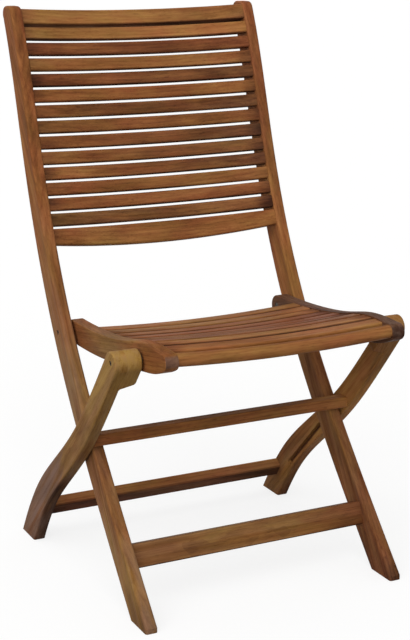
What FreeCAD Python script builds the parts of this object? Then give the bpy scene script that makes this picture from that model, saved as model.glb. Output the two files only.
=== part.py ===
import FreeCAD, Part
import math
import os

Vector = FreeCAD.Vector

# Overall sizes, in millimetres
overall_height = 897.0
overall_width = 500.0
post_reach = 549.0
foot_spread = 445.5

# Thickness of the boards, across the chair
post_thickness = 20.0
leg_thickness = 20.0
rail_thickness = 22.0
leg_gap = 4.0
rail_gap = 4.0

# Posts: side bend as parts of the reach and of the height, foot first
post_bend = [(-0.012, -0.04), (0.146, 0.066), (0.328, 0.192), (0.58, 0.392),
             (0.735, 0.562), (0.862, 0.765), (0.934, 0.902), (1.0255, 1.03)]
post_foot_width = 49.5
post_top_width = 42.0
post_top_round = 13.0

# Rear legs: side bend as parts of the run from the leg pivot to the rear foot
leg_bend = [(1.048, -0.074), (0.92, 0.115), (0.806, 0.246), (0.636, 0.389),
            (0.382, 0.591), (0.164, 0.814), (0.0, 1.0)]
leg_foot_width = 52.0
leg_top_width = 38.0
leg_top_rise = 16.5
leg_pivot_depth = 63.5
leg_pivot_rise = -4.0
leg_edge_round = 2.5
block_reach = 46.0
block_slant = 9.0
block_round = 7.0

# Groove in the leg and the pin that runs along it
groove_width = 9.0
groove_depth = 7.0
groove_slope = 44.5
fold_angle = 86.0
pin_diameter = 8.0
pin_depth = 12.0

# Seat
seat_front_height = 435.0
seat_rise = 49.0
rail_end_radius = 18.5
nose_radius = 13.0
nose_front = 24.0
nose_undercut = 28.0
rail_top_bend = [(0.0, 0.0), (0.22, 0.065), (0.42, 0.24), (0.59, 0.53),
                 (0.765, 0.945), (0.88, 1.03), (1.0, 1.0)]
rail_bottom_bend = [(0.0, 0.0), (0.208, 0.025), (0.438, 0.158), (0.821, 0.588), (0.924, 0.751),
                    (1.0, 1.0)]
seat_slat_count = 9
seat_slat_gap = 6.0
seat_rear_margin = 57.0
seat_slat_thickness = 14.0
seat_slat_drop = 1.5
seat_dish = 6.0
nosing_depth = 22.0
nosing_thickness = 19.5
nosing_round = 9.0
nosing_setback = 2.0

# Backrest
back_slat_count = 13
back_slat_gap = 5.0
back_slat_thickness = 13.0
back_bow = 15.0
back_inset = 3.0
back_top_margin = 12.0
back_seat_clearance = 126.8
top_rail_height = 26.0
top_rail_thickness = 26.0
bottom_rail_height = 27.0
bottom_rail_belly = 8.0

# Stretchers
front_stretcher_height = 83.0
front_stretcher_width = 38.0
front_stretcher_thickness = 20.0
front_stretcher_lean = 17.0
middle_stretcher_width = 18.5
middle_stretcher_thickness = 22.0
middle_stretcher_lead = 5.8
rear_stretcher_height = 48.5
rear_stretcher_width = 27.0
rear_stretcher_thickness = 20.0
rear_stretcher_inset = 2.0

# Joints and fits
edge_round = 4.0
rail_edge_round = 1.5
slat_round = 3.0
tenon_length = 10.0
tenon_shoulder = 3.0
mortise_clearance = 0.1
stop_gap = 0.5
turning_gap = 0.4
bolt_diameter = 6.0
bolt_fit = 0.05
bolt_head_diameter = 8.5
bolt_head_thickness = 3.0
bolt_head_depth = 4.0
nut_diameter = 11.0
nut_thickness = 5.0
nut_clearance = 0.5
washer_diameter = 20.0

# Faces across the chair, measured from the middle
leg_outer = overall_width / 2
leg_inner = leg_outer - leg_thickness
post_outer = leg_inner - leg_gap
post_inner = post_outer - post_thickness
rail_outer = post_inner - rail_gap
rail_inner = rail_outer - rail_thickness

seat_pivot_height = seat_front_height - seat_rise
big = 4 * overall_height


def side_point(depth, height):
    return Vector(0, depth, height)


def smooth(points, start=None, end=None):
    curve = Part.BSplineCurve()
    if start is None:
        curve.interpolate(points)
    else:
        curve.interpolate(Points=points, InitialTangent=start, FinalTangent=end)
    return curve


def rearward(direction):
    """Direction across a board, to its rear when the board runs upward."""
    return Vector(0, direction.z, -direction.y)


def parameter_at_height(curve, height):
    low = curve.FirstParameter
    high = curve.LastParameter
    for step in range(60):
        middle = (low + high) / 2
        if curve.value(middle).z < height:
            low = middle
        else:
            high = middle
    return (low + high) / 2


def depth_at_height(curve, height):
    return curve.value(parameter_at_height(curve, height)).y


def board_edge(middle, foot_width, top_width, side, power):
    """Curve beside the middle line of a tapering board."""
    points = []
    stations = 12
    for station in range(stations + 1):
        share = station / stations
        parameter = middle.FirstParameter + share * (middle.LastParameter - middle.FirstParameter)
        across = rearward(middle.tangent(parameter)[0])
        half = (top_width + (foot_width - top_width) * (1 - share) ** power) / 2
        points.append(middle.value(parameter) + across * (side * half))
    return smooth(points)


def face_between(edges):
    return Part.Face(Part.Wire(Part.__sortEdges__(edges)))


def line(start, end):
    return Part.makeLine(start, end)


def slab(face, inner, outer):
    """Board with the outline of a side face, between two faces across the chair."""
    board = face.extrude(Vector(outer - inner, 0, 0))
    board.translate(Vector(inner, 0, 0))
    return board


def keep_above_floor(board, front, rear):
    room = Part.makeBox(big, rear - front, big, Vector(-big / 2, front, 0))
    return board.common(room)


def round_outline(board, planes, radius):
    """Ease the outline edges that lie in the given faces across the chair, but not at the floor."""
    chosen = []
    for edge in board.Edges:
        box = edge.BoundBox
        in_face = any(abs(box.XMin - x) < 0.01 and abs(box.XMax - x) < 0.01 for x in planes)
        if in_face and box.ZMax > 0.01:
            chosen.append(edge)
    return board.makeFillet(radius, chosen)


def round_cross_edges(board, radius, wanted):
    """Round edges that run straight across the chair where wanted(edge centre) holds."""
    chosen = []
    for edge in board.Edges:
        box = edge.BoundBox
        if box.YLength < 0.01 and box.ZLength < 0.01 and wanted(edge.CenterOfMass):
            chosen.append(edge)
    return board.makeFillet(radius, chosen)


def rod(radius, centre, inner, outer):
    return Part.makeCylinder(radius, outer - inner, Vector(inner, centre.y, centre.z), Vector(1, 0, 0))


def mirrored(shape):
    return shape.mirror(Vector(0, 0, 0), Vector(1, 0, 0))


def bowed_bar(half_length, bow, thickness, width, radius, belly=0.0):
    """Bar across the chair: ends at y 0, middle moved to +y by the bow, width along z."""
    low = -width / 2 - belly
    if bow:
        front = Part.Arc(Vector(-half_length, 0, low), Vector(0, bow, low), Vector(half_length, 0, low))
        rear = Part.Arc(Vector(-half_length, thickness, low), Vector(0, bow + thickness, low),
                        Vector(half_length, thickness, low))
        front_edge = front.toShape()
        rear_edge = rear.toShape()
    else:
        front_edge = line(Vector(-half_length, 0, low), Vector(half_length, 0, low))
        rear_edge = line(Vector(-half_length, thickness, low), Vector(half_length, thickness, low))
    ends = [line(Vector(side * half_length, 0, low), Vector(side * half_length, thickness, low))
            for side in (-1, 1)]
    bar = face_between([front_edge, rear_edge] + ends).extrude(Vector(0, 0, width + belly))
    if belly:
        y = -thickness
        corner = -width / 2
        lower = Part.Arc(Vector(-half_length, y, corner), Vector(0, y, low), Vector(half_length, y, corner))
        upper = line(Vector(-half_length, y, width / 2), Vector(half_length, y, width / 2))
        sides = [line(Vector(side * half_length, y, corner), Vector(side * half_length, y, width / 2))
                 for side in (-1, 1)]
        front_view = face_between([lower.toShape(), upper] + sides)
        bar = bar.common(front_view.extrude(Vector(0, 3 * thickness + bow, 0)))
    long_edges = [edge for edge in bar.Edges if edge.BoundBox.XLength > half_length]
    return bar.makeFillet(radius, long_edges)


def tenon_block(half_length, thickness, width, extra):
    """Both tenons of a bar; extra enlarges them all round to make the mortises."""
    pieces = []
    depth = thickness - 2 * tenon_shoulder + 2 * extra
    height = width - 2 * tenon_shoulder + 2 * extra
    reach = tenon_length + 5 * extra
    for side in (-1, 1):
        start = half_length if side > 0 else -half_length - reach
        corner = Vector(start, thickness / 2 - depth / 2, -height / 2)
        pieces.append(Part.makeBox(reach, depth, height, corner))
    return pieces


def set_bar(shape, point, direction):
    """Turn a bar so that its +y points along direction, and move it to point."""
    placed = shape.copy()
    angle = math.degrees(math.atan2(direction.z, direction.y))
    placed.rotate(Vector(0, 0, 0), Vector(1, 0, 0), angle)
    placed.translate(point)
    return placed


class Bar:
    """A cross bar with its tenons, and the mortises it needs in the boards at its ends."""

    def __init__(self, half_length, bow, thickness, width, radius, point, direction, belly=0.0):
        body = bowed_bar(half_length, bow, thickness, width, radius, belly)
        body = body.fuse(tenon_block(half_length, thickness, width, 0.0))
        self.solid = set_bar(body, point, direction)
        holes = tenon_block(half_length, thickness, width, mortise_clearance)
        self.mortises = [set_bar(hole, point, direction) for hole in holes]


def cut_mortises(board, bars):
    """Cut a board on the +x side for all the bars that end in it."""
    return board.cut([bar.mortises[1] for bar in bars])


# Middle line and edges of the posts
post_middle = smooth([side_point(post_reach * y, overall_height * z) for y, z in post_bend])
post_front = board_edge(post_middle, post_foot_width, post_top_width, -1, 1)
post_rear = board_edge(post_middle, post_foot_width, post_top_width, 1, 1)
seat_pivot = side_point(depth_at_height(post_middle, seat_pivot_height), seat_pivot_height)

# Upper and lower edge of the seat rails
nose_middle = side_point(nose_radius - nose_front, seat_front_height - nose_radius)
nose_down = Vector(0, -math.sin(math.radians(nose_undercut)), -math.cos(math.radians(nose_undercut)))
nose_forward = rearward(nose_down)


def rail_curve(bend, rear_height, front, forward):
    """Edge of the seat rail, from above or below its rear pivot to a point on the nose."""
    points = []
    for run, rise in bend:
        depth = seat_pivot.y + (front.y - seat_pivot.y) * run
        points.append(side_point(depth, rear_height + (front.z - rear_height) * rise))
    return smooth(points, Vector(0, -1, 0), forward)


def rail_height(curve, depth):
    """Height of an edge of the seat rail at a depth; the edge runs from rear to front."""
    low = curve.FirstParameter
    high = curve.LastParameter
    for step in range(60):
        middle = (low + high) / 2
        if curve.value(middle).y > depth:
            low = middle
        else:
            high = middle
    return curve.value(low).z


rail_top = rail_curve(rail_top_bend, seat_pivot_height + rail_end_radius,
                      nose_middle + Vector(0, 0, nose_radius), Vector(0, -1, 0))
rail_bottom = rail_curve(rail_bottom_bend, seat_pivot_height - rail_end_radius,
                         nose_middle + nose_down * nose_radius, nose_forward)

# Middle line and edges of the rear legs, which hang on the rails
rail_middle = (rail_height(rail_top, leg_pivot_depth) + rail_height(rail_bottom, leg_pivot_depth)) / 2
leg_pivot = side_point(leg_pivot_depth, rail_middle + leg_pivot_rise)
leg_run = foot_spread - leg_pivot.y
leg_middle = smooth([side_point(leg_pivot.y + leg_run * y, leg_pivot.z * z) for y, z in leg_bend])
leg_front = board_edge(leg_middle, leg_foot_width, leg_top_width, -1, 2)
leg_rear = board_edge(leg_middle, leg_foot_width, leg_top_width, 1, 2)


def crossing_height():
    low = 0.2 * leg_pivot.z
    high = 0.9 * leg_pivot.z
    for step in range(60):
        middle = (low + high) / 2
        if depth_at_height(post_middle, middle) < depth_at_height(leg_middle, middle):
            low = middle
        else:
            high = middle
    return (low + high) / 2


crossing = side_point(depth_at_height(post_middle, crossing_height()), crossing_height())


def leg_frame(height):
    """Point on the middle line of the leg, its upward direction and its rearward direction."""
    parameter = parameter_at_height(leg_middle, height)
    upward = leg_middle.tangent(parameter)[0]
    return leg_middle.value(parameter), upward, rearward(upward)


# Seat bars
def seat_bars():
    bars = {}
    nosing_end = nosing_depth + nosing_setback - nose_radius
    slat_pitch = (rail_top.length() - seat_rear_margin - nosing_end) / seat_slat_count
    slat_width = slat_pitch - seat_slat_gap
    for number in range(seat_slat_count):
        distance = nosing_end + (number + 1) * slat_pitch - slat_width / 2
        parameter = rail_top.parameterAtDistance(-distance, rail_top.LastParameter)
        down = rearward(rail_top.tangent(parameter)[0]) * -1.0
        point = rail_top.value(parameter) + down * seat_slat_drop
        bars["seat_slat_%d" % (number + 1)] = Bar(rail_inner, seat_dish, seat_slat_thickness,
                                                  slat_width, slat_round, point, down)
    nosing_point = side_point(nosing_depth / 2 + nosing_setback - nose_front,
                              seat_front_height - seat_slat_drop)
    bars["seat_nosing"] = Bar(rail_inner, seat_dish, nosing_thickness, nosing_depth, nosing_round,
                              nosing_point, Vector(0, 0, -1))
    return bars


def seat_rail(bars):
    nose = Part.Arc(rail_top.value(rail_top.LastParameter), nose_middle + Vector(0, -nose_radius, 0),
                    rail_bottom.value(rail_bottom.LastParameter))
    end = Part.Arc(rail_top.value(rail_top.FirstParameter), seat_pivot + Vector(0, rail_end_radius, 0),
                   rail_bottom.value(rail_bottom.FirstParameter))
    outline = face_between([rail_top.toShape(), nose.toShape(), rail_bottom.toShape(), end.toShape()])
    rail = slab(outline, rail_inner, rail_outer)
    rail = round_outline(rail, (rail_inner, rail_outer), rail_edge_round)
    rail = cut_mortises(rail, bars)
    for pivot in (seat_pivot, leg_pivot):
        bore = rod(bolt_diameter / 2 + bolt_fit, pivot, rail_inner - 1, rail_outer + 1)
        recess = rod(nut_diameter / 2 + nut_clearance, pivot, rail_inner - 1,
                     rail_inner + nut_thickness + 2 * turning_gap)
        rail = rail.cut([bore, recess])
    return rail


# Backrest bars
def back_bar(distance, height, thickness=back_slat_thickness, belly=0.0):
    """Bar of the backrest with its middle at a distance down the post from its top."""
    top = parameter_at_height(post_middle, overall_height)
    parameter = post_middle.parameterAtDistance(-distance, top)
    rear = rearward(post_middle.tangent(parameter)[0])
    middle = post_middle.value(parameter)
    front_depth = (middle - post_front.value(post_front.parameter(middle))).Length
    point = middle - rear * (front_depth - back_inset)
    return Bar(post_inner, back_bow, thickness, height, slat_round, point, rear, belly)


def back_bars():
    bars = {}
    top = parameter_at_height(post_middle, overall_height)
    bottom = parameter_at_height(post_middle, seat_pivot_height + back_seat_clearance)
    first_slat = back_top_margin + top_rail_height + back_slat_gap
    slat_room = post_middle.length(bottom, top) - first_slat - bottom_rail_height
    slat_pitch = slat_room / back_slat_count
    slat_height = slat_pitch - back_slat_gap
    bars["back_top_rail"] = back_bar(back_top_margin + top_rail_height / 2, top_rail_height,
                                     top_rail_thickness)
    for number in range(back_slat_count):
        distance = first_slat + number * slat_pitch + slat_height / 2
        bars["back_slat_%d" % (number + 1)] = back_bar(distance, slat_height)
    bars["back_bottom_rail"] = back_bar(first_slat + slat_room + bottom_rail_height / 2, bottom_rail_height,
                                        belly=bottom_rail_belly)
    return bars


# Stretchers
def front_stretcher():
    lean = math.radians(front_stretcher_lean)
    rear = Vector(0, math.cos(lean), -math.sin(lean))
    middle = side_point(depth_at_height(post_middle, front_stretcher_height), front_stretcher_height)
    point = middle - rear * (front_stretcher_thickness / 2)
    return Bar(post_inner, 0.0, front_stretcher_thickness, front_stretcher_width, slat_round, point, rear)


def leg_half_width(height):
    middle, upward, rear = leg_frame(height)
    return (leg_rear.value(leg_rear.parameter(middle)) - middle).Length


def middle_stretcher_place(height):
    """Middle of the stretcher's upright front face, at a height on the leg."""
    middle, upward, rear = leg_frame(height)
    return middle - rear * middle_stretcher_lead - Vector(0, middle_stretcher_thickness / 2, 0)


def stretcher_clears(height):
    """Whether both rounded lower corners of the stretcher stand clear of the front of the posts."""
    point = middle_stretcher_place(height)
    for inward in (slat_round, middle_stretcher_thickness - slat_round):
        corner = point + Vector(0, inward, slat_round - middle_stretcher_width / 2)
        nearest = post_front.value(post_front.parameter(corner))
        if corner.y > nearest.y or (corner - nearest).Length < slat_round + stop_gap:
            return False
    return True


def middle_stretcher():
    """Stretcher between the rear legs that comes to rest on the front of the posts."""
    low = crossing.z
    high = leg_pivot.z
    for step in range(40):
        height = (low + high) / 2
        if stretcher_clears(height):
            high = height
        else:
            low = height
    return Bar(leg_inner, 0.0, middle_stretcher_thickness, middle_stretcher_width, slat_round,
               middle_stretcher_place(high), Vector(0, 1, 0))


def rear_stretcher():
    middle, upward, rear = leg_frame(rear_stretcher_height)
    offset = leg_half_width(rear_stretcher_height) - rear_stretcher_inset - rear_stretcher_thickness
    return Bar(leg_inner, 0.0, rear_stretcher_thickness, rear_stretcher_width, slat_round,
               middle + rear * offset, rear)


# Fold
groove_direction = Vector(0, math.cos(math.radians(groove_slope)), -math.sin(math.radians(groove_slope)))
groove_offset = (crossing - leg_pivot).cross(groove_direction).Length
groove_start = (crossing - leg_pivot).dot(groove_direction)


def folded_run():
    """Vector from the leg pivot to the guide pin when the seat is folded right up."""
    turn = FreeCAD.Rotation(Vector(1, 0, 0), -fold_angle)
    return crossing - (seat_pivot + turn.multVec(leg_pivot - seat_pivot))


def fold_travel():
    """How far the guide pin runs along the groove over the whole fold."""
    return math.sqrt(folded_run().Length ** 2 - groove_offset ** 2) - groove_start


def fold_leg_turn():
    """How far the legs turn against the seat over the whole fold."""
    on_leg = crossing + groove_direction * fold_travel() - leg_pivot
    in_space = folded_run()
    turned = math.atan2(in_space.z, in_space.y) - math.atan2(on_leg.z, on_leg.y)
    return fold_angle + math.degrees(turned)


# Uprights
def post(bars):
    ends = [line(post_front.value(p), post_rear.value(q)) for p, q in
            ((post_front.FirstParameter, post_rear.FirstParameter),
             (post_front.LastParameter, post_rear.LastParameter))]
    board = slab(face_between([post_front.toShape(), post_rear.toShape()] + ends), post_inner, post_outer)
    board = keep_above_floor(board, 0.0, big)
    board = board.common(Part.makeBox(big, big, overall_height, Vector(-big / 2, -big / 2, 0)))
    board = round_cross_edges(board, post_top_round, lambda centre: centre.z > overall_height - 1)
    board = round_outline(board, (post_inner, post_outer), edge_round)
    board = cut_mortises(board, bars)
    bore = rod(bolt_diameter / 2 + bolt_fit, seat_pivot, post_inner - 1, post_outer + 1)
    recess = rod(bolt_head_diameter / 2 + bolt_fit, seat_pivot, post_outer - bolt_head_depth, post_outer + 1)
    pin_hole = rod(pin_diameter / 2 + bolt_fit, crossing, post_outer - pin_depth, post_outer + 1)
    return board.cut([bore, recess, pin_hole])


def leg_outline():
    upward = leg_middle.tangent(leg_middle.LastParameter)[0]
    top = Part.Arc(leg_front.value(leg_front.LastParameter), leg_pivot + upward * leg_top_rise,
                   leg_rear.value(leg_rear.LastParameter))
    foot = line(leg_front.value(leg_front.FirstParameter), leg_rear.value(leg_rear.FirstParameter))
    return face_between([leg_front.toShape(), top.toShape(), leg_rear.toShape(), foot])


def groove():
    """Straight blind groove that starts at the crossing and runs down the inner face of the leg."""
    radius = groove_width / 2
    length = fold_travel()
    finish = crossing + groove_direction * length
    box = Part.makeBox(groove_depth + 1, length, groove_width, Vector(leg_inner - 1, 0, -radius))
    box.rotate(Vector(0, 0, 0), Vector(1, 0, 0), -groove_slope)
    box.translate(crossing)
    ends = [rod(radius, point, leg_inner - 1, leg_inner + groove_depth) for point in (crossing, finish)]
    return box.fuse(ends)


def block_room(slant):
    """Space above the lower end of the spacer block, which rises by the slant towards the rail."""
    upward = leg_middle.tangent(leg_middle.LastParameter)[0]
    top = block_reach + leg_top_width
    corners = [Vector(x, 0, z) for x, z in
               ((post_inner - 1, slant - block_reach), (leg_inner, -block_reach),
                (leg_outer + 1, -block_reach), (leg_outer + 1, top),
                (post_inner - 1, top), (post_inner - 1, slant - block_reach))]
    room = Part.Face(Part.makePolygon(corners)).extrude(Vector(0, 4 * leg_top_width, 0))
    room.translate(Vector(0, -2 * leg_top_width, 0))
    room.rotate(Vector(0, 0, 0), Vector(1, 0, 0), math.degrees(math.atan2(-upward.y, upward.z)))
    room.translate(leg_pivot)
    return room


def rear_leg(bars):
    """Leg with its edges eased, but left square where the block is glued on flush."""
    board = slab(leg_outline(), leg_inner, leg_outer)
    board = keep_above_floor(board, -big, foot_spread + 0.6 * leg_foot_width)
    top = round_outline(board, (leg_outer,), leg_edge_round).common(block_room(0.0))
    board = round_outline(board, (leg_inner, leg_outer), leg_edge_round).cut(block_room(0.0))
    board = board.fuse(top).removeSplitter()
    board = cut_mortises(board, bars)
    bore = rod(bolt_diameter / 2 + bolt_fit, leg_pivot, leg_inner - 1, leg_outer + 1)
    recess = rod(bolt_head_diameter / 2 + bolt_fit, leg_pivot, leg_outer - bolt_head_depth, leg_outer + 1)
    return board.cut([groove(), bore, recess])


def spacer_block():
    """Block on the inner face of the leg top, as thick as the post and its gap."""
    block = slab(leg_outline(), post_inner, leg_inner).common(block_room(block_slant))
    upward = leg_middle.tangent(leg_middle.LastParameter)[0]
    low = [edge for edge in block.Edges
           if (edge.CenterOfMass - leg_pivot).dot(upward) < 1 - block_reach / 2]
    ends = [edge for edge in low if edge.BoundBox.XMax < post_inner + 0.01
            and abs(edge.tangentAt(edge.FirstParameter).dot(upward)) < 0.1]
    block = block.makeFillet(block_round, ends)
    block = round_outline(block, (post_inner,), leg_edge_round)
    return block.cut(rod(bolt_diameter / 2 + bolt_fit, leg_pivot, post_inner - 1, leg_inner + 1))


# Pivot hardware
def pivot_bolt(pivot, outer):
    head_face = outer - bolt_head_depth + bolt_head_thickness
    head = rod(bolt_head_diameter / 2, pivot, outer - bolt_head_depth, head_face)
    shank = rod(bolt_diameter / 2, pivot, rail_inner + turning_gap, head_face)
    socket = rod(bolt_diameter / 4, pivot, head_face - bolt_head_thickness / 2, head_face + 1)
    return head.fuse(shank).removeSplitter().cut(socket)


def pivot_washer(pivot):
    ring = rod(washer_diameter / 2, pivot, rail_outer + turning_gap, post_inner)
    return ring.cut(rod(bolt_diameter / 2 + bolt_fit, pivot, rail_outer, post_inner))


def pivot_nut(pivot):
    start = rail_inner + turning_gap
    nut = rod(nut_diameter / 2, pivot, start, start + nut_thickness)
    return nut.cut(rod(bolt_diameter / 2 + bolt_fit, pivot, start, start + nut_thickness))


def guide_pin():
    """Pin in the outer face of the post, with its end just short of the leg."""
    return rod(pin_diameter / 2, crossing, post_outer - pin_depth, leg_inner - turning_gap)


seat = seat_bars()
back = back_bars()
lower_front = front_stretcher()
middle_bar = middle_stretcher()
lower_rear = rear_stretcher()

paired = {
    "post": post(list(back.values()) + [lower_front]),
    "rear_leg": rear_leg([middle_bar, lower_rear]),
    "spacer_block": spacer_block(),
    "seat_rail": seat_rail(list(seat.values())),
    "seat_pivot_bolt": pivot_bolt(seat_pivot, post_outer),
    "seat_pivot_washer": pivot_washer(seat_pivot),
    "seat_pivot_nut": pivot_nut(seat_pivot),
    "leg_pivot_bolt": pivot_bolt(leg_pivot, leg_outer),
    "leg_pivot_washer": pivot_washer(leg_pivot),
    "leg_pivot_nut": pivot_nut(leg_pivot),
    "guide_pin": guide_pin(),
}

nodes = {}
for name, shape in paired.items():
    nodes[name + "_left"] = shape
    nodes[name + "_right"] = mirrored(shape)
for name, bar in list(seat.items()) + list(back.items()):
    nodes[name] = bar.solid
nodes["front_stretcher"] = lower_front.solid
nodes["middle_stretcher"] = middle_bar.solid
nodes["rear_stretcher"] = lower_rear.solid

# The origin goes to the floor below the middle of the chair
post_rear_most = nodes["post_left"].optimalBoundingBox(False).YMax
middle_depth = (post_rear_most - nose_front) / 2

os.makedirs("parts", exist_ok=True)
for name, shape in nodes.items():
    shape.translate(Vector(0, -middle_depth, 0))
    shape.exportStep("parts/%s.step" % name)
for name, point in (("seat pivot", seat_pivot), ("leg pivot", leg_pivot), ("crossing", crossing)):
    print(name, round(point.y - middle_depth, 3), round(point.z, 3))
print("middle depth", round(middle_depth, 3))
print("fold", fold_angle, "leg turn", round(fold_leg_turn(), 3), "pin travel", round(fold_travel(), 2))
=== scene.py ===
"""Looks of a folding garden chair of oiled hardwood, built around its packed construction."""

import math

import bpy
import numpy as np
from mathutils import Matrix, Vector


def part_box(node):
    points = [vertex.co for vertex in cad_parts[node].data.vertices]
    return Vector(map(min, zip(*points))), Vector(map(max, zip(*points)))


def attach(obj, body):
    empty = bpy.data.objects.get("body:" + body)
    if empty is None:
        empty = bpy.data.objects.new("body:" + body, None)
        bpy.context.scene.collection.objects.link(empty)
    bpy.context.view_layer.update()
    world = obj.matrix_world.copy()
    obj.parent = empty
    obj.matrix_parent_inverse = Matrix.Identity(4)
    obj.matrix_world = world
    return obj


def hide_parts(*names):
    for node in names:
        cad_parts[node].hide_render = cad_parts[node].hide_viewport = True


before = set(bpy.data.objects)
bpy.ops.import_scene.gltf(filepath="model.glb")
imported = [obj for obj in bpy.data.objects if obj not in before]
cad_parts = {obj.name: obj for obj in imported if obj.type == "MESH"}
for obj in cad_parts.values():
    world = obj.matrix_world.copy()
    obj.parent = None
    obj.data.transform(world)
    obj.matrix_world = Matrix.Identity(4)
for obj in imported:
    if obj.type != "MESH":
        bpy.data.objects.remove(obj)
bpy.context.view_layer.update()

MM = 0.001

# Camera, placed as the photograph was taken
CAMERA_PLACE = (-1.0570, -2.1456, 1.0136)
CAMERA_TURN = math.radians(-26.36)
CAMERA_DROP = math.radians(14.45)
CAMERA_LENS = 84.4
CAMERA_SENSOR = 36.0

# Light: an even white room and one wide lamp in front on the left
ROOM_LIGHT = 0.48
WHITE = (1.0, 1.0, 1.0, 1.0)
LAMP_STRENGTH = 2.3
LAMP_WIDTH = math.radians(80)
LAMP_TURN = math.radians(-45)
LAMP_HEIGHT = math.radians(34)
FLOOR_REACH = 60.0
FLOOR_COLOUR = (0.24, 0.24, 0.238, 1.0)
FLOOR_LIFT = 0.79

# Finishes of the boards: how light the oil left them, how red, and how grey the weather made them
FINISHES = {
    "pale": (0.90, 0.52, 0.10),
    "straw": (0.88, 0.08, 0.30),
    "honey": (0.79, 0.62, 0.10),
    "olive": (0.78, 0.06, 0.38),
    "wheat": (0.77, 0.10, 0.60),
    "golden": (0.72, 0.52, 0.10),
    "amber": (0.69, 0.74, 0.04),
    "moss": (0.66, 0.16, 0.25),
    "russet": (0.60, 0.66, 0.10),
    "rosy": (0.60, 0.98, 0.10),
    "hazel": (0.57, 0.36, 0.30),
    "chestnut": (0.55, 0.66, 0.10),
    "ashen": (0.54, 0.40, 1.00),
    "cedar": (0.47, 0.84, 0.06),
    "umber": (0.45, 0.64, 0.20),
    "walnut": (0.38, 0.70, 0.15),
    "smoked": (0.27, 0.58, 0.65),
}

# Finish of each bar at its right and its left end, from the top down and from the front to the rear
TOP_BAR = ("pale", "russet")
BACK_SLATS = [("pale", "pale"), ("cedar", "rosy"), ("honey", "golden"), ("cedar", "walnut"),
              ("amber", "amber"), ("chestnut", "umber"), ("russet", "chestnut"), ("russet", "umber"),
              ("golden", "umber"), ("golden", "umber"), ("russet", "golden"), ("russet", "russet"),
              ("hazel", "umber")]
BOTTOM_BAR = ("golden", "amber")
FRONT_BAR = ("honey", "golden")
SEAT_SLATS = [("honey", "honey"), ("honey", "honey"), ("russet", "russet"), ("chestnut", "cedar"),
              ("russet", "rosy"), ("amber", "rosy"), ("amber", "amber"), ("golden", "honey"),
              ("honey", "honey")]

# How far a bar's finish takes to change on each side of the middle, and how far a board's stops stray
FINISH_REACH = 0.15
FINISH_WANDER = 0.05

# Dirt and painted shade: how far they reach, and how much there is; the gap, groove, underside and shadow
# amounts are painted shade
BAR_END_DIRT_AND_SHADE = 32.0 * MM
FOOT_DIRT_AND_SHADE = 60.0 * MM
# Heights between which faces that turn down get painted shade
UNDERSIDE_SHADE_LOW = 110.0 * MM
UNDERSIDE_SHADE_HIGH = 200.0 * MM
# How deep the painted shade reaches into a bar's faces across a gap
GAP_SHADE_DEPTH = 1.8 * MM
# How deep the painted shadow reaches under the first back slat
SHADOW_LINE_DEPTH = 4.2 * MM
GROOVE_SKIN = (1.0 * MM, 3.0 * MM)
# Deepest painted shade: under the first back slat and on the floor of the legs' grooves
DEEP_SHADE = 2.0
# Amounts of painted shade: strong in the seat's gaps, lighter in the backrest's gaps
SEAT_GAP_SHADE = 1.8
UNDERSIDE_SHADE_AMOUNT = 1.15
LIGHT_SHADE = 1.1
NO_DIRT_OR_SHADE = 0.0
PATCHY_LIMIT = 1.0
DIRT_AND_SHADE_LIMIT = 1.4

# Tone and greyness of the boards' cut ends
PALE_END = (0.14, 0.0)
PLUM_END = (-0.14, 0.70)
DARK_END = (-0.24, 0.30)

# How squarely a face turns along the board, through its thickness, down (for painted shade on downward
# faces) and up (for painted light on upper faces)
CUT_FACE = (0.64, 0.90)
GROOVE_FLOOR = (0.6, 0.9)
UNDERSIDE = (-0.15, -0.45)
UPPER_FACE = (0.5, 0.9)
EDGE_PEAK = 4.0

# Eased edges of the bars, and the waves that the plane left on them
BACK_EDGE = 3.0 * MM
NOSING_EDGE = 9.0 * MM
HAND_FINISH = 0.25 * MM
EDGE_STEPS = 6
BAR_STEPS = 49
CORNER_SHARE = (0.22, 0.42)
SKIN_SHARE = 0.49
SQUARE_ANGLE = 1.0

# Where the bars lie in the log, so that no two show the same grain
LOG_SPACING = 1.37
LOG_STEP = (3.71, 0.437, 0.291)

# Reading a bar's end from the construction
FACE_SLACK = 0.02 * MM
LONG_WAY_LIMITS = (-1.2, 1.9)
TURN_SEARCH = 3.0
TURN_TRIALS = 241

# Clouds of noise: lumps to the metre along the grain and across it, detail, roughness
CLOUDS = {
    "sway": ((2.4, 9.0, 9.0), 2.0, 0.50),
    "patch": ((3.2, 16.0, 16.0), 2.0, 0.50),
    "blot": ((13.0, 46.0, 46.0), 2.0, 0.60),
    "streak": ((2.6, 85.0, 85.0), 3.0, 0.55),
    "fibre": ((8.0, 420.0, 420.0), 4.0, 0.62),
    "pore": ((70.0, 1500.0, 1500.0), 1.0, 0.50),
    "fleck": ((75.0, 240.0, 240.0), 2.0, 0.50),
    "finish": ((8.0, 40.0, 40.0), 2.0, 0.50),
    "plane": ((14.0, 90.0, 90.0), 1.0, 0.50),
    "dulling": ((260.0, 260.0, 260.0), 4.0, 0.60),
    "turning": ((60.0, 2400.0, 2400.0), 2.0, 0.50),
}
NOISE_MIDDLE = 0.5
NOISE_REACH = (0.30, 0.70)

# Growth rings, and how far the grain sways across the board
GRAIN_SWAY = (0.0, 0.011, 0.011)
RINGS = {"Scale": 52.0, "Distortion": 2.6, "Detail": 2.0, "Detail Scale": 0.5}
LATE_WOOD = (0.55, 1.0)

# Which part of a cloud shows as a mark
PORE_SHARE = (0.60, 0.70)
FLECK_SHARE = (0.64, 0.74)
FLECKED_PATCH = (0.45, 0.60)
DIRT_AND_SHADE_PATCH = (0.42, 0.62)
EDGE_HIGHLIGHT_PATCH = (0.40, 0.60)
FADED_STREAK = (0.30, 0.62)
FINISH_SHARE = (0.25, 0.75)

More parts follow.
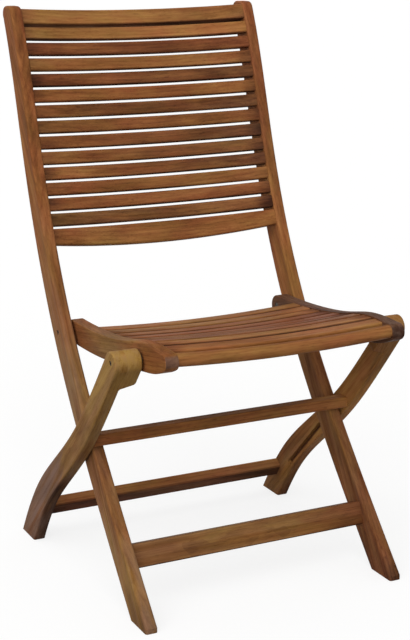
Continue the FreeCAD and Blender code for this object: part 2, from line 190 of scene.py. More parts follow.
# How much each mark changes the wood's lightness, redness, greyness, roughness and relief
SWINGS = {"streak": 0.60, "fibre": 0.42, "patch": 0.45, "blot": 0.50}
SHADES = {"late wood": -0.09, "pore": -0.16, "fleck": -0.16, "cut end": 1.0, "edge highlight and wear": 1.0,
          "dirt_and_shade": -0.42}
# Eased edges lighter in patches: a painted highlight, with a little wear
EDGE_HIGHLIGHT_AND_WEAR = (-0.03, 0.07)
RED_PATCHES = (-0.20, 0.20)
RED_BLOTS = (-0.25, 0.25)
DIRT_AND_SHADE_GREY = 0.15
FIBRE_ROUGHNESS = (0.74, 0.58)
ROUGHENING = {"pore": 0.20, "end": 0.15, "edge": -0.08, "red patch": -0.10, "dirt_and_shade": 0.40}
RELIEF = {"fibre": 0.55, "streak": 0.35, "late wood": 0.18, "pore": -0.70}
GRAIN_STRENGTH = 0.5
GRAIN_DEPTH = 0.4 * MM
OIL_IOR = 1.45
OIL_SHEEN = 0.07

# Colours from dark to light
OIL_COLOURS = [(0.05, (0.040, 0.014, 0.005, 1.0)), (0.35, (0.118, 0.043, 0.012, 1.0)),
               (0.62, (0.232, 0.092, 0.023, 1.0)), (1.0, (0.420, 0.198, 0.050, 1.0))]
GREY_COLOURS = [(0.0, (0.070, 0.038, 0.026, 1.0)), (1.0, (0.255, 0.146, 0.104, 1.0))]
YELLOW_TINT = (0.94, 1.15, 1.05, 1.0)
RED_TINT = (1.06, 0.80, 1.05, 1.0)
STEEL_COLOURS = [(0.35, (0.030, 0.022, 0.016, 1.0)), (0.65, (0.085, 0.066, 0.050, 1.0))]
STEEL_ROUGHNESS = (0.34, 0.56)
STEEL_STRENGTH = 0.35
STEEL_DEPTH = 0.08 * MM


# Node steps that everything shares
def put(tree, kind, wires=None, **settings):
    """A new node with its settings, its inputs joined to sockets or set to values."""
    made = tree.nodes.new(kind)
    for name, value in settings.items():
        setattr(made, name, value)
    for key, value in (wires or {}).items():
        if isinstance(value, bpy.types.NodeSocket):
            tree.links.new(value, made.inputs[key])
        else:
            made.inputs[key].default_value = value
    return made


def sums(tree, operation, first, second=0.0, clamp=False):
    """One step of arithmetic on numbers."""
    made = put(tree, "ShaderNodeMath", {0: first, 1: second}, operation=operation, use_clamp=clamp)
    return made.outputs[0]


def vectors(tree, operation, first, second):
    """One step of arithmetic on vectors."""
    return put(tree, "ShaderNodeVectorMath", {0: first, 1: second}, operation=operation).outputs["Vector"]


def scaled(tree, vector, by):
    """A vector made longer or shorter by a number."""
    return put(tree, "ShaderNodeVectorMath", {0: vector, "Scale": by}, operation="SCALE").outputs["Vector"]


def split(tree, vector):
    """The three parts of a vector."""
    return put(tree, "ShaderNodeSeparateXYZ", {0: vector}).outputs


def joined(tree, **parts):
    """A vector from some of its parts."""
    return put(tree, "ShaderNodeCombineXYZ", parts).outputs[0]


def spread(tree, value, low, high, to_low=0.0, to_high=1.0):
    """Stretch a number from one range to another, held at the ends."""
    wires = {"Value": value, "From Min": low, "From Max": high, "To Min": to_low, "To Max": to_high}
    return put(tree, "ShaderNodeMapRange", wires, clamp=True).outputs["Result"]


def cloud(tree, place, name):
    """One of the clouds of noise, as a number and as a colour."""
    per_metre, detail, roughness = CLOUDS[name]
    wires = {"Vector": vectors(tree, "MULTIPLY", place, per_metre), "Scale": 1.0,
             "Detail": detail, "Roughness": roughness}
    return put(tree, "ShaderNodeTexNoise", wires).outputs


def channels(tree, colour):
    """The three parts of a colour, used as three patterns."""
    return put(tree, "ShaderNodeSeparateColor", {"Color": colour}).outputs


def mixed(tree, factor, first, second, how="MIX"):
    """Two colours mixed by a factor."""
    wires = {"Factor": factor, "A": first, "B": second}
    return put(tree, "ShaderNodeMix", wires, data_type="RGBA", blend_type=how).outputs["Result"]


def colour_ramp(tree, value, stops):
    """A colour that follows a number through stops."""
    made = put(tree, "ShaderNodeValToRGB", {"Fac": value})
    elements = made.color_ramp.elements
    for number, (place, colour) in enumerate((stops[0], stops[-1])):
        elements[number].position = place
        elements[number].color = colour
    for place, colour in stops[1:-1]:
        elements.new(place).color = colour
    return made.outputs["Color"]


def add_marks(tree, value, marks, strengths, clamp=False):
    """A number changed by named marks, each with its own strength."""
    for name, strength in strengths.items():
        value = sums(tree, "ADD", value, sums(tree, "MULTIPLY", marks[name], strength), clamp)
    return value


def add_sockets(tree, side, sockets):
    """Named inputs or outputs of a node group, numbers where no kind is given."""
    for name, kind in sockets.items():
        tree.interface.new_socket(name, in_out=side, socket_type=kind or "NodeSocketFloat")


def add_object(name, data):
    made = bpy.data.objects.new(name, data)
    bpy.context.scene.collection.objects.link(made)
    return made


# The wood
def wood_marks(tree, inlet):
    """The marks in and on an oiled board with its grain along x, by name."""
    board = inlet["Board"]
    drift = vectors(tree, "SUBTRACT", cloud(tree, board, "sway")["Color"], (NOISE_MIDDLE,) * 3)
    swayed = vectors(tree, "ADD", board, vectors(tree, "MULTIPLY", drift, GRAIN_SWAY))
    patches = channels(tree, cloud(tree, board, "patch")["Color"])
    blots = channels(tree, cloud(tree, swayed, "blot")["Color"])
    rings = put(tree, "ShaderNodeTexWave", {"Vector": swayed, **RINGS}, wave_type="RINGS",
                rings_direction="X", wave_profile="SAW").outputs["Fac"]
    fleck = spread(tree, cloud(tree, swayed, "fleck")[0], *FLECK_SHARE)
    # The amount darkens in patches up to the patchy limit, as dirt and painted shade, and evenly above it,
    # as painted shade only
    patchy_dirt_and_shade = sums(tree, "MULTIPLY", inlet["Dirt And Shade"], spread(tree, patches[2], *DIRT_AND_SHADE_PATCH))
    even_painted_shade = sums(tree, "MAXIMUM", sums(tree, "SUBTRACT", inlet["Dirt And Shade"], PATCHY_LIMIT), 0.0)
    edge_highlight = spread(tree, patches[2], *EDGE_HIGHLIGHT_PATCH, *EDGE_HIGHLIGHT_AND_WEAR)
    return {
        "patch": patches[0],
        "red patch": patches[1],
        "blot": blots[0],
        "red blot": blots[1],
        "streak": cloud(tree, swayed, "streak")[0],
        "fibre": cloud(tree, swayed, "fibre")[0],
        "pore": spread(tree, cloud(tree, swayed, "pore")[0], *PORE_SHARE),
        "late wood": spread(tree, rings, *LATE_WOOD),
        "fleck": sums(tree, "MULTIPLY", fleck, spread(tree, patches[0], *FLECKED_PATCH)),
        "dirt_and_shade": sums(tree, "MINIMUM", sums(tree, "ADD", patchy_dirt_and_shade, even_painted_shade), DIRT_AND_SHADE_LIMIT),
        "edge": inlet["Edge"],
        "edge highlight and wear": sums(tree, "MULTIPLY", inlet["Edge"], edge_highlight),
        "end": inlet["End"],
        "cut end": sums(tree, "MULTIPLY", inlet["End"], inlet["End Tone"]),
    }


def hardwood():
    """Colour, sheen and relief of an oiled board with its grain along x."""
    tree = bpy.data.node_groups.new("oiled hardwood", "ShaderNodeTree")
    add_sockets(tree, "INPUT", {"Board": "NodeSocketVector", "Lightness": None, "Redness": None,
                                "Greyness": None, "Edge": None, "End": None, "End Tone": None,
                                "End Grey": None, "Dirt And Shade": None})
    add_sockets(tree, "OUTPUT", {"Colour": "NodeSocketColor", "Roughness": None, "Relief": None})
    inlet = put(tree, "NodeGroupInput").outputs
    marks = wood_marks(tree, inlet)

    swings = {name: sums(tree, "SUBTRACT", marks[name], NOISE_MIDDLE) for name in SWINGS}
    light = add_marks(tree, inlet["Lightness"], swings, SWINGS)
    light = add_marks(tree, light, marks, SHADES)
    red = sums(tree, "ADD", inlet["Redness"], spread(tree, marks["red patch"], *NOISE_REACH, *RED_PATCHES))
    red = sums(tree, "ADD", red, spread(tree, marks["red blot"], *NOISE_REACH, *RED_BLOTS), True)
    tint = mixed(tree, red, YELLOW_TINT, RED_TINT)
    stained = mixed(tree, 1.0, colour_ramp(tree, light, OIL_COLOURS), tint, "MULTIPLY")
    faded = sums(tree, "MULTIPLY", inlet["Greyness"], spread(tree, marks["streak"], *FADED_STREAK), True)
    faded = add_marks(tree, faded, marks, {"dirt_and_shade": DIRT_AND_SHADE_GREY, "end": inlet["End Grey"]}, True)
    weathered = mixed(tree, faded, stained, colour_ramp(tree, light, GREY_COLOURS))

    fibre_rough = spread(tree, marks["fibre"], *NOISE_REACH, *FIBRE_ROUGHNESS)
    put(tree, "NodeGroupOutput", {"Colour": weathered,
                                  "Roughness": add_marks(tree, fibre_rough, marks, ROUGHENING),
                                  "Relief": add_marks(tree, 0.0, marks, RELIEF)})
    return tree


HARDWOOD = hardwood()


def low_sheen(name):
    """An empty material and its shader, with no more sheen than oil leaves."""
    made = bpy.data.materials.new(name)
    made.use_nodes = True
    made.node_tree.nodes.clear()
    shader = put(made.node_tree, "ShaderNodeBsdfPrincipled",
                 {"IOR": OIL_IOR, "Specular IOR Level": OIL_SHEEN})
    put(made.node_tree, "ShaderNodeOutputMaterial", {"Surface": shader.outputs[0]})
    return made, made.node_tree, shader


def finish_wood(tree, shader, wires):
    """Hardwood with its inputs, joined to a shader."""
    wood = put(tree, "ShaderNodeGroup", wires, node_tree=HARDWOOD).outputs
    bump = put(tree, "ShaderNodeBump", {"Height": wood["Relief"], "Strength": GRAIN_STRENGTH,
                                        "Distance": GRAIN_DEPTH})
    tree.links.new(wood["Colour"], shader.inputs["Base Color"])
    tree.links.new(wood["Roughness"], shader.inputs["Roughness"])
    tree.links.new(bump.outputs[0], shader.inputs["Normal"])


def board_turn(grain, thickness):
    """The turn that lays a board's grain along x and its thickness along z."""
    along = Vector(grain).normalized()
    thin = Vector(thickness)
    thin = (thin - along * thin.dot(along)).normalized()
    return Matrix((along, thin.cross(along), thin)).to_euler()


def groove_shade(tree, node, spot, flat):
    """Painted shade on the floor of a rear leg's groove, the only flat face between the leg's two sides."""
    low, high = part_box(node)
    thick = high.x - low.x
    sunk = sums(tree, "SUBTRACT", sums(tree, "ABSOLUTE", spot["X"]), min(abs(low.x), abs(high.x)))
    far_skin = [thick - skin for skin in GROOVE_SKIN]
    inside = sums(tree, "MULTIPLY", spread(tree, sunk, *GROOVE_SKIN), spread(tree, sunk, *far_skin))
    return sums(tree, "MULTIPLY", inside, spread(tree, flat, *GROOVE_FLOOR, NO_DIRT_OR_SHADE, DEEP_SHADE))


def finish_along(tree, course, stops):
    """Lightness, redness and greyness that change from stop to stop along a board."""
    tones = list(FINISHES[stops[0][1]])
    for (begin, first), (finish, last) in zip(stops, stops[1:]):
        for kind, (before, after) in enumerate(zip(FINISHES[first], FINISHES[last])):
            change = spread(tree, course, begin, finish, 0.0, after - before)
            tones[kind] = sums(tree, "ADD", change, tones[kind])
    return tones


def board_wood(node, grain, thickness, run, stops, cut_end, log_place, painted_top_light=0.0):
    """Wood of one board: its grain and thin direction, finishes at stops along a run, place in the log."""
    made, tree, shader = low_sheen(node + " wood")
    turn = board_turn(grain, thickness)
    where = put(tree, "ShaderNodeTexCoord").outputs
    spot = split(tree, where["Object"])
    rise = split(tree, where["Normal"])["Z"]
    board = put(tree, "ShaderNodeMapping", {"Vector": where["Object"], "Rotation": turn,
                                            "Location": log_place}).outputs[0]
    facing = put(tree, "ShaderNodeMapping", {"Vector": where["Normal"], "Rotation": turn},
                 vector_type="NORMAL").outputs[0]
    facings = split(tree, facing)
    flat = sums(tree, "MULTIPLY", facings["Z"], facings["Z"])
    # Eased-edge mask, for the painted highlight with a little wear there, and for the edges' roughness
    edge = sums(tree, "MULTIPLY", sums(tree, "MULTIPLY", flat, EDGE_PEAK),
                sums(tree, "SUBTRACT", 1.0, flat))
    end = spread(tree, sums(tree, "ABSOLUTE", facings["X"]), *CUT_FACE)
    # Painted shade on faces that turn down, near the floor
    painted_underside = sums(tree, "MULTIPLY", spread(tree, rise, *UNDERSIDE, NO_DIRT_OR_SHADE, UNDERSIDE_SHADE_AMOUNT),
                  spread(tree, spot["Z"], UNDERSIDE_SHADE_HIGH, UNDERSIDE_SHADE_LOW))
    # Darker towards the floor: dirt on the feet, with painted shade on the low faces
    dirt_and_shade = sums(tree, "MAXIMUM", spread(tree, spot["Z"], FOOT_DIRT_AND_SHADE, 0.0), painted_underside)
    if node.startswith("rear_leg"):
        dirt_and_shade = sums(tree, "MAXIMUM", dirt_and_shade, groove_shade(tree, node, spot, flat))
    course = put(tree, "ShaderNodeVectorMath", {0: where["Object"], 1: run},
                 operation="DOT_PRODUCT").outputs["Value"]
    wander = spread(tree, cloud(tree, board, "finish")[0], *FINISH_SHARE, -FINISH_WANDER, FINISH_WANDER)
    tones = finish_along(tree, sums(tree, "ADD", course, wander), stops)
    # Painted light: faces that turn up are made lighter
    if painted_top_light:
        tones[0] = sums(tree, "ADD", spread(tree, rise, *UPPER_FACE, 0.0, painted_top_light), tones[0])
    end_tone, end_grey = cut_end
    finish_wood(tree, shader, {"Board": board, "Lightness": tones[0], "Redness": tones[1],
                               "Greyness": tones[2], "Edge": edge, "End": end, "End Tone": end_tone,
                               "End Grey": end_grey, "Dirt And Shade": dirt_and_shade})
    return made


TONES = ("lightness", "redness", "greyness")
TONE_CHANGES = tuple(tone + "_change" for tone in TONES)


def slat_wood(name):
    """Wood of the cross bars, whose finish and place in the log are kept with each bar."""
    made, tree, shader = low_sheen(name)
    where = put(tree, "ShaderNodeTexCoord").outputs["Object"]
    kept = {}
    for attribute in ("log", "edge", "dirt_and_shade") + TONES + TONE_CHANGES:
        kept[attribute] = put(tree, "ShaderNodeAttribute", None, attribute_name=attribute).outputs["Fac"]
    course = spread(tree, split(tree, where)["X"], -FINISH_REACH, FINISH_REACH)
    tones = [sums(tree, "ADD", kept[tone], sums(tree, "MULTIPLY", kept[change], course))
             for tone, change in zip(TONES, TONE_CHANGES)]
    board = vectors(tree, "ADD", where, scaled(tree, LOG_STEP, kept["log"]))
    finish_wood(tree, shader, {"Board": board, "Lightness": tones[0], "Redness": tones[1],
                               "Greyness": tones[2], "Edge": kept["edge"], "Dirt And Shade": kept["dirt_and_shade"]})
    return made


# The cross bars
def position(tree):
    return put(tree, "GeometryNodeInputPosition").outputs[0]


def keep_on(tree, shape, name, value):
    """A shape with a number kept on each of its points."""
    made = put(tree, "GeometryNodeStoreNamedAttribute", {"Geometry": shape, "Name": name, "Value": value},
               data_type="FLOAT", domain="POINT")
    return made.outputs[0]


def moved(tree, shape, offset):
    return put(tree, "GeometryNodeSetPosition", {"Geometry": shape, "Offset": offset}).outputs[0]


def straight_bar(tree, inlet):
    """A bar along x with eased edges, which are marked for a painted highlight with a little wear."""
    outline = put(tree, "GeometryNodeCurvePrimitiveQuadrilateral",
                  {"Width": inlet["Thickness"], "Height": inlet["Width"]})
    eased = put(tree, "GeometryNodeFilletCurve", {"Curve": outline.outputs[0], "Radius": inlet["Edge"],
                                                  "Count": EDGE_STEPS}, mode="POLY")
    spot = split(tree, position(tree))
    across = sums(tree, "DIVIDE", sums(tree, "ABSOLUTE", spot["X"]), inlet["Thickness"])
    upward = sums(tree, "DIVIDE", sums(tree, "ABSOLUTE", spot["Y"]), inlet["Width"])
    corner = spread(tree, sums(tree, "MINIMUM", across, upward), *CORNER_SHARE)
    profile = keep_on(tree, eased.outputs[0], "edge", corner)
    half = inlet["Half Length"]
    path = put(tree, "GeometryNodeCurvePrimitiveLine",
               {"Start": joined(tree, X=sums(tree, "MULTIPLY", half, -1.0)), "End": joined(tree, X=half)})
    steps = put(tree, "GeometryNodeResampleCurve", {"Curve": path.outputs[0], "Count": BAR_STEPS})
    return put(tree, "GeometryNodeCurveToMesh", {"Curve": steps.outputs[0], "Profile Curve": profile,
                                                 "Fill Caps": True}).outputs[0]


def bowed_bar(tree, inlet):
    """The bar with its dirt and painted shade, bowed to the rear and bellied along its lower edge."""
    straight = straight_bar(tree, inlet)
    half = inlet["Half Length"]
    spot = split(tree, position(tree))
    from_end = sums(tree, "SUBTRACT", half, sums(tree, "ABSOLUTE", spot["X"]))
    # Darker towards the ends where the bars meet the posts: dirt, with painted shade where the parts join
    bar_dirt_and_shade = spread(tree, from_end, inlet["End Dirt And Shade Reach"], 0.0)
    deep = sums(tree, "MULTIPLY", inlet["Width"], SKIN_SHARE)
    shallow = sums(tree, "SUBTRACT", deep, inlet["Gap Shade Depth"])
    # Painted shade on the upper and lower faces, where the bars face each other across narrow gaps
    for way_up, amount in ((1.0, "Upper Gap Shade"), (-1.0, "Lower Gap Shade")):
        side = sums(tree, "MULTIPLY", spot["Z"], way_up)
        bar_dirt_and_shade = sums(tree, "MAXIMUM", bar_dirt_and_shade, spread(tree, side, shallow, deep, NO_DIRT_OR_SHADE, inlet[amount]))
    bar_with_marks = keep_on(tree, straight, "dirt_and_shade", bar_dirt_and_shade)

    run = sums(tree, "DIVIDE", spot["X"], half)
    middle = sums(tree, "SUBTRACT", 1.0, sums(tree, "MULTIPLY", run, run))
    low = sums(tree, "SUBTRACT", 0.5, sums(tree, "DIVIDE", spot["Z"], inlet["Width"]))
    fall = sums(tree, "MULTIPLY", inlet["Belly"], -1.0)
    sag = sums(tree, "MULTIPLY", fall, sums(tree, "MULTIPLY", middle, low))
    return moved(tree, bar_with_marks, joined(tree, Y=sums(tree, "MULTIPLY", inlet["Bow"], middle), Z=sag))


def bar_tree():
    """Bars across the chair, one on each point, turned about x by the point's own angle."""
    tree = bpy.data.node_groups.new("bars across", "GeometryNodeTree")
    add_sockets(tree, "INPUT", {"Places": "NodeSocketGeometry", "Half Length": None, "Thickness": None,
                                "Width": None, "Bow": None, "Belly": None, "Edge": None,
                                "Upper Gap Shade": None, "Lower Gap Shade": None, "Gap Shade Depth": None,
                                "End Dirt And Shade Reach": None, "Hand Finish": None, "Seed": None,
                                "Wood": "NodeSocketMaterial"})
    add_sockets(tree, "OUTPUT", {"Bars": "NodeSocketGeometry"})
    inlet = put(tree, "NodeGroupInput").outputs
    bar = bowed_bar(tree, inlet)
    turn = put(tree, "GeometryNodeInputNamedAttribute", {"Name": "turn"}, data_type="FLOAT").outputs[0]
    rotation = put(tree, "FunctionNodeEulerToRotation", {0: joined(tree, X=turn)})
    placed = put(tree, "GeometryNodeInstanceOnPoints",
                 {"Points": inlet["Places"], "Instance": bar, "Rotation": rotation.outputs[0]})
    real = put(tree, "GeometryNodeRealizeInstances", {0: placed.outputs[0]})

    place = vectors(tree, "ADD", position(tree), joined(tree, X=inlet["Seed"]))
    lift = sums(tree, "SUBTRACT", cloud(tree, place, "plane")[0], NOISE_MIDDLE)
    lift = sums(tree, "MULTIPLY", lift, inlet["Hand Finish"])
    normal = put(tree, "GeometryNodeInputNormal").outputs[0]
    planed = moved(tree, real.outputs[0], scaled(tree, normal, lift))
    smooth = put(tree, "GeometryNodeSetShadeSmooth", {"Geometry": planed})
    angle = put(tree, "GeometryNodeInputMeshEdgeAngle").outputs[0]
    crisp = put(tree, "GeometryNodeSetShadeSmooth",
                {"Geometry": smooth.outputs[0], "Shade Smooth": False,
                 "Selection": sums(tree, "GREATER_THAN", angle, SQUARE_ANGLE)}, domain="EDGE")
    wooden = put(tree, "GeometryNodeSetMaterial", {"Geometry": crisp.outputs[0], "Material": inlet["Wood"]})
    put(tree, "NodeGroupOutput", {0: wooden.outputs[0]})
    return tree


BAR_TREE = bar_tree()


def turned_back(angle, places):
    """Places in the side view, seen along axes that are turned by an angle."""
    axes = np.array([[math.cos(angle), -math.sin(angle)], [math.sin(angle), math.cos(angle)]])
    return places @ axes


def end_section(node, shoulder, near=None, turn=None):
    """Where a bar's end sits, how it is turned, and its sizes, read from the construction."""
    points = np.array([vertex.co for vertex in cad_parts[node].data.vertices])
    ends = points[np.abs(points[:, 0] - shoulder) < FACE_SLACK][:, 1:]
    if near is None:
        long_way = np.linalg.eigh(np.cov((ends - ends.mean(axis=0)).T))[1][:, 1]
        first = math.atan2(long_way[1], long_way[0])
        if first < LONG_WAY_LIMITS[0] or first > LONG_WAY_LIMITS[1]:
            first -= math.copysign(math.pi, first)
        near = first - math.pi / 2
    if turn is None:
        trials = near + np.radians(np.linspace(-TURN_SEARCH, TURN_SEARCH, TURN_TRIALS))
        turn = min(trials, key=lambda angle: np.ptp(turned_back(angle, ends), axis=0).prod())
    section = turned_back(turn, ends)
    whole = turned_back(turn, points[:, 1:])
    low = section.min(axis=0)
    high = section.max(axis=0)
    middle = turned_back(-turn, (low + high) / 2)
    return {"place": (0.0, middle[0], middle[1]), "turn": turn, "thickness": high[0] - low[0],
            "width": high[1] - low[1], "bow": whole[:, 0].max() - high[0],
            "belly": low[1] - whole[:, 1].min()}


def set_inputs(modifier, tree, values):
    for item in tree.interface.items_tree:
        if item.item_type == "SOCKET" and item.in_out == "INPUT" and item.name in values:
            modifier[item.identifier] = values[item.name]


def cross_bars(name, body, nodes, finishes, first_log, shoulder, dirt_and_shade, edge=BACK_EDGE, near=None,
               turn=None, gap_shade_depth=GAP_SHADE_DEPTH):
    """The visible bars that stand for construction nodes, in one mesh on one body."""
    sections = [end_section(node, shoulder, near, turn) for node in nodes]
    places = bpy.data.meshes.new(name)
    places.from_pydata([section["place"] for section in sections], [], [])
    kept = {"turn": [section["turn"] for section in sections],
            "log": [first_log + LOG_SPACING * number for number in range(len(nodes))]}
    for kind, (tone, change) in enumerate(zip(TONES, TONE_CHANGES)):
        kept[tone] = [FINISHES[right][kind] for right, left in finishes]
        kept[change] = [FINISHES[left][kind] - FINISHES[right][kind] for right, left in finishes]
    for attribute, values in kept.items():
        places.attributes.new(attribute, "FLOAT", "POINT").data.foreach_set("value", values)
    piece = add_object(name, places)
    bars = piece.modifiers.new("bars", "NODES")
    bars.node_group = BAR_TREE
    typical = sections[0]
    set_inputs(bars, BAR_TREE, {"Half Length": shoulder, "Thickness": float(typical["thickness"]),
                                "Width": float(typical["width"]), "Bow": float(typical["bow"]),
                                "Belly": float(max(typical["belly"], 0.0)), "Edge": edge,
                                "Upper Gap Shade": dirt_and_shade[0], "Lower Gap Shade": dirt_and_shade[1], "Gap Shade Depth": gap_shade_depth,
                                "End Dirt And Shade Reach": BAR_END_DIRT_AND_SHADE, "Hand Finish": HAND_FINISH,
                                "Seed": first_log, "Wood": BAR_WOOD})
    piece.modifiers.new("even shading", "WEIGHTED_NORMAL").keep_sharp = True
    shown = bpy.context.evaluated_depsgraph_get()
    made = bpy.data.meshes.new_from_object(piece.evaluated_get(shown), preserve_all_data_layers=True,
                                           depsgraph=shown)
    piece.modifiers.clear()
    piece.data = made
    made.name = name
    bpy.data.meshes.remove(places)
    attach(piece, body)
    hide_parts(*nodes)
    return sections


BAR_WOOD = slat_wood("slat wood")
post_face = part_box("post_left")[0].x
rail_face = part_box("seat_rail_left")[0].x
back_nodes = ["back_slat_%d" % (number + 1) for number in range(len(BACK_SLATS))]
seat_nodes = ["seat_slat_%d" % (number + 1) for number in range(len(SEAT_SLATS))]
# The amounts given for each bar's upper and lower faces are painted shade in the gaps between bars
first_slat = cross_bars("backrest_first_slat", "frame", back_nodes[:1], BACK_SLATS[:1], 1.0, post_face,
                        (LIGHT_SHADE, DEEP_SHADE), gap_shade_depth=SHADOW_LINE_DEPTH)
cross_bars("backrest_slats", "frame", back_nodes[1:], BACK_SLATS[1:], 2.37, post_face,
           (LIGHT_SHADE, LIGHT_SHADE))
cross_bars("backrest_top_bar", "frame", ["back_top_rail"], [TOP_BAR], 31.0, post_face,
           (NO_DIRT_OR_SHADE, LIGHT_SHADE), near=first_slat[0]["turn"])
cross_bars("backrest_bottom_bar", "frame", ["back_bottom_rail"], [BOTTOM_BAR], 41.0, post_face,
           (LIGHT_SHADE, NO_DIRT_OR_SHADE))
cross_bars("seat_first_slat", "seat", seat_nodes[:1], SEAT_SLATS[:1], 51.0, rail_face,
           (LIGHT_SHADE, NO_DIRT_OR_SHADE))
cross_bars("seat_slats", "seat", seat_nodes[1:], SEAT_SLATS[1:], 52.37, rail_face,
           (SEAT_GAP_SHADE, SEAT_GAP_SHADE))
cross_bars("seat_front_bar", "seat", ["seat_nosing"], [FRONT_BAR], 71.0, rail_face,
           (NO_DIRT_OR_SHADE, NO_DIRT_OR_SHADE), edge=NOSING_EDGE, turn=-math.pi / 2)


# The side boards and stretchers keep their construction shape
def dress(node, material):
    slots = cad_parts[node].data.materials
    slots.clear()
    slots.append(material)


def way(node, lean):
    """Direction of a board in the side view, from its box and the way that it leans."""
    low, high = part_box(node)
    return (0.0, (high.y - low.y) * lean, high.z - low.z)


TO_REAR = 1.0
TO_FRONT = -1.0
ACROSS = (1.0, 0.0, 0.0)
UP = (0.0, 0.0, 1.0)
FORWARD = (0.0, -1.0, 0.0)
LEG_RUN = (0.0, -1.0, -0.35)
PAINTED_TOP_LIGHT = 0.34

# Each board: its lean as it rises, the run of its finish and the stops on it, cut ends, place in the log
BOARDS = [
    ("post_right", TO_REAR, UP,
     [(0.08, "wheat"), (0.15, "hazel"), (0.22, "hazel"), (0.30, "wheat"), (0.60, "amber")],
     PALE_END, (1.1, 0.052, 0.031)),
    ("post_left", TO_REAR, UP,
     [(0.07, "umber"), (0.16, "hazel"), (0.42, "golden"), (0.52, "golden"), (0.66, "russet")],
     PALE_END, (2.7, -0.047, 0.036)),
    ("rear_leg_right", TO_FRONT, LEG_RUN,
     [(-0.10, "ashen"), (-0.065, "moss"), (-0.02, "moss"), (0.02, "olive"), (0.045, "olive"),
      (0.055, "straw")],
     PALE_END, (3.9, 0.061, -0.042)),
    ("rear_leg_left", TO_FRONT, LEG_RUN,
     [(-0.16, "hazel"), (-0.11, "golden"), (-0.03, "pale"), (0.03, "pale"), (0.06, "moss")],
     PALE_END, (5.3, -0.055, -0.029)),
    ("seat_rail_right", TO_FRONT, FORWARD,
     [(-0.05, "russet"), (0.04, "hazel"), (0.08, "moss"), (0.14, "moss"), (0.20, "amber")],
     PLUM_END, (6.1, 0.044, 0.050)),
    ("seat_rail_left", TO_FRONT, UP, [(0.0, "smoked")], DARK_END, (7.7, -0.063, 0.027)),
    ("spacer_block_right", TO_FRONT, UP, [(0.0, "straw")], PALE_END, (8.5, 0.057, 0.033)),
    ("spacer_block_left", TO_FRONT, UP, [(0.0, "golden")], PALE_END, (9.9, -0.041, 0.046)),
]

# Each stretcher: the stops along it, its place in the log, and how much lighter its upper face is painted,
# as painted light from above
STRETCHERS = [
    ("front_stretcher", [(-0.16, "hazel"), (-0.02, "moss"), (0.09, "moss"), (0.15, "umber")],
     (11.3, 0.049, -0.035), 0.0),
    # Lighter toward the +x end: painted light, set against the shade the seat casts on this stretcher
    ("middle_stretcher", [(0.10, "chestnut"), (0.20, "honey")], (12.1, -0.058, 0.040), 0.0),
    ("rear_stretcher", [(0.0, "umber")], (13.7, 0.043, 0.052), PAINTED_TOP_LIGHT),
]
for node, lean, run, stops, cut_end, log_place in BOARDS:
    dress(node, board_wood(node, way(node, lean), ACROSS, run, stops, cut_end, log_place))
for node, stops, log_place, painted_top_light in STRETCHERS:
    dress(node, board_wood(node, ACROSS, UP, ACROSS, stops, PALE_END, log_place, painted_top_light))


# The pivot bolts, washers, nuts and guide pins
def dark_steel():
    """Steel that has dulled outdoors, with finer polish left on the turned faces."""
    made, tree, shader = low_sheen("dark steel")
    shader.inputs["Metallic"].default_value = 1.0
    where = put(tree, "ShaderNodeTexCoord").outputs["Object"]
    dulling = cloud(tree, where, "dulling")[0]
    bump = put(tree, "ShaderNodeBump", {"Height": cloud(tree, where, "turning")[0],
                                        "Strength": STEEL_STRENGTH, "Distance": STEEL_DEPTH})
    rough = spread(tree, dulling, *NOISE_REACH, *STEEL_ROUGHNESS)
    tree.links.new(colour_ramp(tree, dulling, STEEL_COLOURS), shader.inputs["Base Color"])
    tree.links.new(rough, shader.inputs["Roughness"])
    tree.links.new(bump.outputs[0], shader.inputs["Normal"])
    return made


steel = dark_steel()
for side in ("left", "right"):
    for pivot in ("seat_pivot", "leg_pivot"):
        for fastener in ("bolt", "washer", "nut"):
            dress("%s_%s_%s" % (pivot, fastener, side), steel)
    dress("guide_pin_" + side, steel)


# The room
def seen(tree):
    """One where the camera, a reflection or clear glass looks, and nothing for the light itself."""
    rays = put(tree, "ShaderNodeLightPath").outputs
    both = sums(tree, "ADD", rays["Is Camera Ray"], rays["Is Glossy Ray"])
    return sums(tree, "ADD", both, rays["Is Transmission Ray"], True)


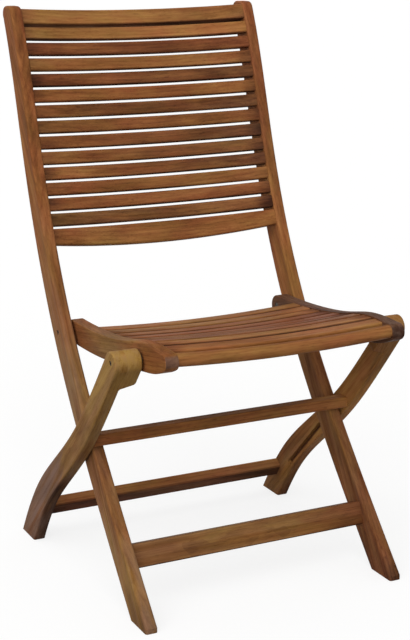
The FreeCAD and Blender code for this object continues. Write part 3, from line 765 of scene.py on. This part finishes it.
def pale_floor():
    """A wide floor that looks white and keeps the chair's shadow."""
    mesh = bpy.data.meshes.new("floor")
    corners = [(x * FLOOR_REACH, y * FLOOR_REACH, 0.0) for x, y in ((-1, -1), (1, -1), (1, 1), (-1, 1))]
    mesh.from_pydata(corners, [], [(0, 1, 2, 3)])
    made = bpy.data.materials.new("pale floor")
    made.use_nodes = True
    tree = made.node_tree
    tree.nodes.clear()
    matt = put(tree, "ShaderNodeBsdfDiffuse", {"Color": FLOOR_COLOUR})
    lift = put(tree, "ShaderNodeEmission", {"Strength": sums(tree, "MULTIPLY", seen(tree), FLOOR_LIFT)})
    both = put(tree, "ShaderNodeAddShader", {0: matt.outputs[0], 1: lift.outputs[0]})
    put(tree, "ShaderNodeOutputMaterial", {"Surface": both.outputs[0]})
    mesh.materials.append(made)
    floor = add_object("floor", mesh)


def white_room():
    """Even light from all round, white where the camera sees it."""
    world = bpy.data.worlds.new("white room")
    world.use_nodes = True
    tree = world.node_tree
    tree.nodes.clear()
    strength = sums(tree, "ADD", sums(tree, "MULTIPLY", seen(tree), 1.0 - ROOM_LIGHT), ROOM_LIGHT)
    background = put(tree, "ShaderNodeBackground", {"Color": WHITE, "Strength": strength})
    put(tree, "ShaderNodeOutputWorld", {"Surface": background.outputs[0]})
    bpy.context.scene.world = world


def soft_lamp():
    lamp = bpy.data.lights.new("wide lamp", "SUN")
    lamp.energy = LAMP_STRENGTH
    lamp.angle = LAMP_WIDTH
    reach = math.cos(LAMP_HEIGHT)
    toward = Vector((math.sin(LAMP_TURN) * reach, -math.cos(LAMP_TURN) * reach, math.sin(LAMP_HEIGHT)))
    add_object("wide lamp", lamp).rotation_euler = toward.to_track_quat("Z", "Y").to_euler()


def photo_camera():
    lens = bpy.data.cameras.new("camera")
    lens.sensor_width = CAMERA_SENSOR
    lens.lens = CAMERA_LENS
    camera = add_object("camera", lens)
    camera.location = CAMERA_PLACE
    reach = math.cos(CAMERA_DROP)
    aim = Vector((-math.sin(CAMERA_TURN) * reach, math.cos(CAMERA_TURN) * reach, -math.sin(CAMERA_DROP)))
    camera.rotation_euler = aim.to_track_quat("-Z", "Y").to_euler()
    bpy.context.scene.camera = camera


pale_floor()
white_room()
soft_lamp()
photo_camera()
bpy.context.scene.view_settings.view_transform = "Standard"
